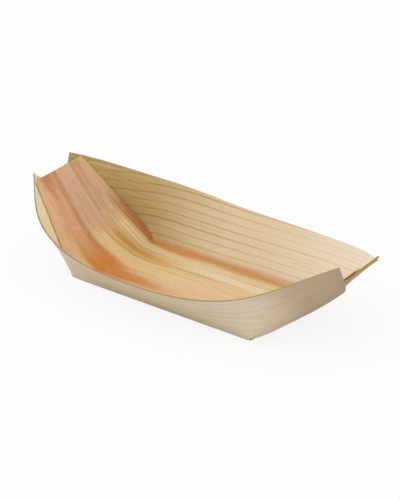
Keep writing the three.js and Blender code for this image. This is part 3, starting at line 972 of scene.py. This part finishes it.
def half_wall_lines(wall, end):
    """Start and head of each line, its swell, and the places of both ends on the leaf."""
    top, flap, slit_end = wall_edges(wall, end)
    along = np.linspace(0, 1, WALL_STEPS + 1)
    round_flap = np.linspace(0, 1, FLAP_STEPS + 1)[1:]
    turn = turn_at(wall, end)
    fan = 3 * turn.side_run * MM / abs(slit_end[0])
    feet = np.tile(slit_end, (WALL_STEPS + 1 + FLAP_STEPS, 1))
    feet[:WALL_STEPS + 1, 0] = slit_end[0] * (1 - (1 - along) ** fan)
    heads = np.concatenate([curve_points(top, along), curve_points(flap, round_flap)])
    relief = SLIT_RELIEF * np.concatenate([smooth_step(along, RELIEF_FROM, 1), np.ones(FLAP_STEPS)])
    swell = MM * np.concatenate([
        turn.swell * smooth_step(along, SWELL_FROM, SWELL_FULL),
        mixed(turn.swell, turn.swell_at_slit, smooth_step(round_flap, 0, SWELL_END)),
    ])
    fine = np.linspace(0, 1, LENGTH_SAMPLES + 1)
    steps = np.linalg.norm(np.diff(curve_points(top, fine), axis=0), axis=1)
    length = np.interp(along, fine, np.concatenate([[0], np.cumsum(steps)]))
    foot_across = np.full(len(feet), wall.side * CREASE_ON_LEAF)
    foot_places = np.stack([feet[:, 0], foot_across, 0 * foot_across], axis=-1)
    head_along = end * np.concatenate([length, np.full(FLAP_STEPS, length[-1])])
    head_across = np.concatenate([np.ones(WALL_STEPS + 1), 1 - round_flap]) * WALL_HEIGHT + CREASE_ON_LEAF
    head_places = np.stack([head_along, wall.side * head_across, 0 * head_along], axis=-1)
    way = heads - feet
    ragged = np.concatenate([np.zeros(WALL_STEPS + 1), ragged_draws.uniform(-1, 0, FLAP_STEPS)]) * RAGGED_EDGE
    lengths = np.linalg.norm(way, axis=1)
    starts = feet + way * (relief / lengths)[:, None]
    heads = heads + way * (ragged / lengths)[:, None]
    start_places = foot_places + (head_places - foot_places) * (relief / lengths)[:, None]
    outwards = np.array([end, wall.side, 0]) / math.sqrt(2)
    return starts, heads, swell[:, None] * outwards, start_places / MM, head_places / MM


def wall_lines(name, wall):
    """A mesh with one point per line, from one flap's corner to the other's, so that the inside faces up."""
    left = half_wall_lines(wall, -1)
    right = half_wall_lines(wall, 1)
    lines = [np.concatenate([a[::-1], b[1:]])[::wall.side] for a, b in zip(left, right)]
    mesh = bpy.data.meshes.new(name)
    mesh.from_pydata(lines[0].tolist(), [], [])
    for label, values in zip(("head", "swell", "start_leaf", "head_leaf"), lines[1:]):
        point_attribute(mesh, label, values)
    return mesh


near_lines = wall_lines("near_wall_lines", NEAR_WALL)
far_lines = wall_lines("far_wall_lines", FAR_WALL)
print("lines per wall:", len(near_lines.vertices))

# %% The rule of a wall, with Geometry Nodes
RISE_STEPS = 40
SWELL_HEIGHT = 0.25
WALL_SIZES = {
    "Thickness": VENEER, "Floor length": FLOOR_LENGTH, "Floor width": FLOOR_WIDTH, "End length": END_LENGTH,
    "Root width": END_ROOT_WIDTH, "Top width": END_TOP_WIDTH, "Near root rise": NEAR_ROOT_RISE,
    "Far root rise": FAR_ROOT_RISE, "Belly at floor": BELLY_AT_FLOOR, "Belly at top": BELLY_AT_TOP,
    "Twist": END_TWIST,
}


def bellied(size, point):
    """Presses the belly of an end into the flap behind it."""
    x, y, z = (point.part(axis) for axis in "XYZ")
    sine, cosine = math.sin(END_TILT), math.cos(END_TILT)
    up = (abs(x) - size["Floor length"] / 2) * sine + (z - MID_Z) * cosine
    rise = up / size["End length"]
    far = y.math("GREATER_THAN", y, 0)
    root_share = (up / mixed(size["Near root rise"], size["Far root rise"], far)).clamped()
    root = root_share.math("SINE", root_share * (math.pi / 2))
    tapered = mixed(size["Root width"], size["Top width"], rise.clamped()) / 2
    half_width = mixed(size["Floor width"] / 2, tapered, root)
    across = y / half_width
    inside = across.math("MAXIMUM", 1 - across * across, 0)
    share = inside * inside * up.math("GREATER_THAN", up, 0)
    out = share * mixed(size["Belly at floor"], size["Belly at top"] * cosine, rise)
    new_x = x + x.math("SIGN", x) * out
    new_z = z - share * size["Belly at top"] * sine * rise
    return new_x, y, new_z


def twist_drop(size, x, y):
    """How far the twist of an end lowers a point."""
    run = x.math("MAXIMUM", abs(x) - size["Floor length"] / 2, 0) / END_RUN
    return x.math("SIGN", x) * size["Twist"] * run * run * y / (size["Top width"] / 2)


def ruled_wall_tree(name, face, edge):
    tree, size = tree_with(name, "Lines", ["Rise steps"], WALL_SIZES, "Wall")
    lines = size["Lines"]
    rows = size["Rise steps"] + 1
    count = lines.node(
        "GeometryNodeAttributeDomainSize", {"component": "MESH"}, {"Geometry": lines}, "Point Count")
    grid = lines.node("GeometryNodeMeshGrid", (), {"Vertices X": count, "Vertices Y": rows}, "Mesh")
    index = lines.node("GeometryNodeInputIndex")
    column = index.math("FLOOR", index / rows)
    share = (index - column * rows) / size["Rise steps"]

    def of_line(value):
        vectors = {"data_type": "FLOAT_VECTOR"}
        if isinstance(value, str):
            value = lines.node("GeometryNodeInputNamedAttribute", vectors, {"Name": value})
        sockets = {"Geometry": lines, "Value": value, "Index": column}
        return lines.node("GeometryNodeSampleIndex", vectors, sockets)

    def between(start, head):
        return start.vector("ADD", start, head.vector("SUBTRACT", head, start).scaled(share))

    full = SWELL_HEIGHT * (1 - SWELL_HEIGHT) ** 3
    swell_share = share * (1 - share) ** 3 / full
    point = between(of_line(lines.node("GeometryNodeInputPosition")), of_line("head"))
    point = point.vector("ADD", point, of_line("swell").scaled(swell_share))
    x, y, z = bellied(size, point)
    place = x.triple(x, y, z - twist_drop(size, x, y))
    surface = grid.node("GeometryNodeSetPosition", (), {"Geometry": grid, "Position": place})
    surface = with_places(surface, between(of_line("start_leaf"), of_line("head_leaf")))
    ended(veneer_of(surface, size["Thickness"], face, back_face, edge))
    return tree


near_tree = ruled_wall_tree("ruled_near_wall", near_wall_face, near_edge)
far_tree = ruled_wall_tree("ruled_far_wall", far_wall_face, far_edge)
wall_values = {"Rise steps": RISE_STEPS, **WALL_SIZES}
near_wall = plain_piece("near_wall_veneer", near_lines, near_tree, wall_values)
far_wall = plain_piece("far_wall_veneer", far_lines, far_tree, wall_values)

# %% [markdown]
# ## The crushed creases
# Where the leaf was scored and folded, its fibres are crushed but not cut: a soft web about as thick as the
# veneer joins the floor to each wall, with single fibres standing off it. A plain bar would look cut from a
# rod, so Geometry Nodes rounds a long cylinder into the fold, lets its girth wander, and lays seeded strands
# over it. The web carries places on the leaf as the veneer does, so its colour runs on.

# %% The wood of the creases
WEB_TONE = (206, 158, 98)
WEB_FIBRES = Texture(9, 0.25, 23, 3.0)
WEB_FIBRE_TINTS = [Tint((166, 112, 58), 0.6, 0.0, 0.7), Tint((238, 206, 152), 0.5, 0.0, -0.7)]
WEB_DRIFT = Texture(30, 4, 24)
WEB_DRIFT_TINTS = [Tint((222, 184, 132), 0.5, 0.0, 0.8)]
WEB_ROUGHNESS = 0.82


def crease_paint(tree):
    place = leaf_place(tree)
    fibres = noise(place, WEB_FIBRES)
    colour = tinted(linear(WEB_TONE), fibres, WEB_FIBRE_TINTS)
    colour = tinted(colour, noise(place, WEB_DRIFT), WEB_DRIFT_TINTS)
    return colour, WEB_ROUGHNESS + FIBRE_ROUGHNESS * fibres, fibres


crease_wood = wood_material("crushed_pine", crease_paint)

# %% A web with strands, with Geometry Nodes
WEB_SIZES = {"Width": 1.3 * MM, "Height": 0.56 * MM, "Level": 0.38 * MM, "Strand length": 6 * MM,
             "Strand thickness": 0.1 * MM}
WEB_SEGMENTS = 150
WEB_SIDES = 12
STRANDS = 70
STRAND_SIDES = 5
STRAND_SWAY = math.radians(3)
STRAND_RING = 0.42
SHORTEST_STRAND = 0.4
GIRTH_CHANGE = 0.3
RIPPLE_LENGTH = 4 * MM
WEB_OFFSET = 0.58 * MM
WEB_OVERRUN = 1.2 * MM
WEB_MIDDLE = FLOOR_WIDTH / 2 + WEB_OFFSET
WEB_REACH = FLOOR_LENGTH / 2 + WEB_OVERRUN
WEB_SEEDS = {"near": 5, "far": 9}


def web_tree():
    places = ["From", "To", "Middle"]
    tree, size = tree_with("crushed_crease", "Geometry", ["Strands", "Seed"], [*places, *WEB_SIZES], "Web")
    start = size["Geometry"]
    rod = start.node("GeometryNodeMeshCylinder", (), {
        "Vertices": WEB_SIDES, "Side Segments": WEB_SEGMENTS, "Radius": 1.0, "Depth": 1.0}, "Mesh")
    across, up, along = (start.node("GeometryNodeInputPosition").part(axis) for axis in "XYZ")
    run = size["To"] - size["From"]
    x = size["From"] + (along + 0.5) * run
    ripple_place = x.triple(x / RIPPLE_LENGTH, across, up)
    ripple = x.node("ShaderNodeTexNoise", (), {"Vector": ripple_place, "Scale": 1.0, "Detail": 2.0})
    girth = 1 - GIRTH_CHANGE * ripple
    place = x.triple(
        x,
        size["Middle"] + across * girth * size["Width"] / 2,
        size["Level"] + up * girth * size["Height"] / 2,
    )
    rod = rod.node("GeometryNodeSetPosition", (), {"Geometry": rod, "Position": place})
    web = joined(rod, web_strands(size, run))
    web = with_places(web, start.node("GeometryNodeInputPosition").scaled(1 / MM))
    web = web.node("GeometryNodeSetShadeSmooth", {"domain": "FACE"}, {"Geometry": web})
    ended(web.node("GeometryNodeSetMaterial", (), {"Geometry": web, "Material": crease_wood}))
    return tree


def web_strands(size, run):
    """Thin fibres along the web, each a little askew, at seeded places round its section."""
    start = size["Geometry"]

    def drawn(low, high, shift):
        return start.node("FunctionNodeRandomValue", {"data_type": "FLOAT"}, {
            "Min": low, "Max": high, "Seed": size["Seed"] + shift}, 1)

    points = start.node("GeometryNodePoints", (), {"Count": size["Strands"]})
    turn = drawn(0.0, 2 * math.pi, 0)
    spot = turn.triple(
        size["From"] + size["Strand length"] / 2 + drawn(0.0, 1.0, 1) * (run - size["Strand length"]),
        size["Middle"] + turn.math("COSINE", turn) * size["Width"] * STRAND_RING,
        size["Level"] + turn.math("SINE", turn) * size["Height"] * STRAND_RING,
    )
    points = points.node("GeometryNodeSetPosition", (), {"Geometry": points, "Position": spot})
    strand = start.node("GeometryNodeMeshCylinder", (), {
        "Vertices": STRAND_SIDES, "Radius": size["Strand thickness"] / 2,
        "Depth": size["Strand length"]}, "Mesh")
    askew = start.triple(0.0, math.pi / 2, drawn(-STRAND_SWAY, STRAND_SWAY, 2))
    length = start.triple(1.0, 1.0, drawn(SHORTEST_STRAND, 1.0, 3))
    placed = points.node("GeometryNodeInstanceOnPoints", (), {
        "Points": points, "Instance": strand, "Rotation": askew, "Scale": length})
    return placed.node("GeometryNodeRealizeInstances", (), {"Geometry": placed})


crease_tree = web_tree()
webs = []
for label, wall in (("near", NEAR_WALL), ("far", FAR_WALL)):
    values = {
        "From": -WEB_REACH + wall.left.setback * MM, "To": WEB_REACH - wall.right.setback * MM,
        "Middle": wall.side * WEB_MIDDLE, "Strands": STRANDS, "Seed": WEB_SEEDS[label], **WEB_SIZES,
    }
    empty = bpy.data.meshes.new(label + "_crease")
    webs.append(plain_piece(label + "_crease_fibre", empty, crease_tree, values))

# %% [markdown]
# ## The glue
# Four dabs of glue hold the boat: one between each bent end and the flap behind it, and one between the two
# flaps. Pressed wet between veneers, a dab spreads into a flat drop with a rounded rim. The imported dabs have
# the right place and thickness, so a merged copy of each is rounded by a Subdivision Surface.

# %% The glue
GLUE_TONE = (222, 204, 158)
GLUE_CLOUDS = Texture(3, 3, 25, 3.0)
GLUE_CLOUD_TINTS = [Tint((190, 160, 104), 0.6, 0.0, 0.7), Tint((240, 230, 200), 0.5, 0.0, -0.7)]
GLUE_BUBBLES = Texture(0.5, 0.5, 26, 1.0)
BUBBLE_RANGE = (0.2, 0.7)
GLUE_ROUGHNESS = 0.36
CLOUD_ROUGHNESS = 0.12
GLUE_SHINE = 0.5
GLUE_SEAM = 0.001 * MM
GLUE_SUBDIVISIONS = 2


def glue_paint(tree):
    place = Wire(tree).node("ShaderNodeTexCoord", output="Object").scaled(1 / MM)
    clouds = noise(place, GLUE_CLOUDS)
    colour = tinted(linear(GLUE_TONE), clouds, GLUE_CLOUD_TINTS)
    bubbles = noise(place, GLUE_BUBBLES).step(*BUBBLE_RANGE)
    return colour, GLUE_ROUGHNESS + CLOUD_ROUGHNESS * clouds, bubbles


dried_glue = wood_material("dried_glue", glue_paint, GLUE_SHINE)


def rounded_dab(node):
    """A merged copy of a packed dab, rounded and kept as a plain mesh."""
    shape = bmesh.new()
    shape.from_mesh(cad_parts[node].data)
    bmesh.ops.remove_doubles(shape, verts=shape.verts, dist=GLUE_SEAM)
    mesh = bpy.data.meshes.new(node + "_source")
    shape.to_mesh(mesh)
    shape.free()
    mesh.materials.clear()
    mesh.materials.append(dried_glue)
    source = added(node + "_source", mesh)
    rounding = source.modifiers.new("rounding", "SUBSURF")
    rounding.levels = GLUE_SUBDIVISIONS
    rounding.render_levels = GLUE_SUBDIVISIONS
    result = kept_mesh(source, node + "_dab")
    result.shade_smooth()
    print(node, "has", len(result.polygons), "faces")
    return added(node + "_dab", result)


GLUE_NODES = [end + layer + "glue" for end in ("left_", "right_") for layer in ("inner_", "outer_")]
dabs = [rounded_dab(node) for node in GLUE_NODES]

# %% [markdown]
# ## Hand-over
# Every piece takes the place of its imported node and rides on the boat's one body.

# %% Hand-over
riding = [
    (floor_strip, "floor_veneer", "floor_strip"),
    (near_wall, "wall_veneer", "near_wall"),
    (far_wall, "wall_veneer", "far_wall"),
    (webs[0], "crushed_fibre", "near_crease_web"),
    (webs[1], "crushed_fibre", "far_crease_web"),
]
riding += [(dab, "glue", node) for dab, node in zip(dabs, GLUE_NODES)]
for piece, slot, node in riding:
    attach(piece, "root")
    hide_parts(node)
